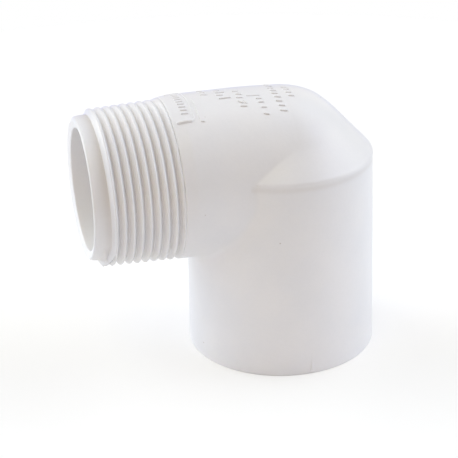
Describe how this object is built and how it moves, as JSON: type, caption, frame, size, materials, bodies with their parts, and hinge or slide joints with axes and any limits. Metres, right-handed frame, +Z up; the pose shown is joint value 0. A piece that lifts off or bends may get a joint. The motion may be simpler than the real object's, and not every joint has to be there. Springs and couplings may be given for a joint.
{
  "type": "pvc street elbow pipe fitting",
  "caption": "White plastic 90 degree street elbow for irrigation pipe: tapered male pipe thread on one leg, plain solvent-weld socket on the other, with a bevelled heel.",
  "frame": {"origin": "centre of the bounding box at the socket mouth's plane, which the part stands on", "axes": "+Z up along the socket's axis, away from its mouth; -X along the threaded leg, towards its open end; the part is symmetrical about y = 0 but for the thread's helix"},
  "size_m": [0.0798, 0.0512, 0.0725],
  "materials": {
    "white_pvc": "satin moulded white plastic"
  },
  "bodies": {
    "root": {"elbow_body": "white_pvc"}
  },
  "joints": []
}
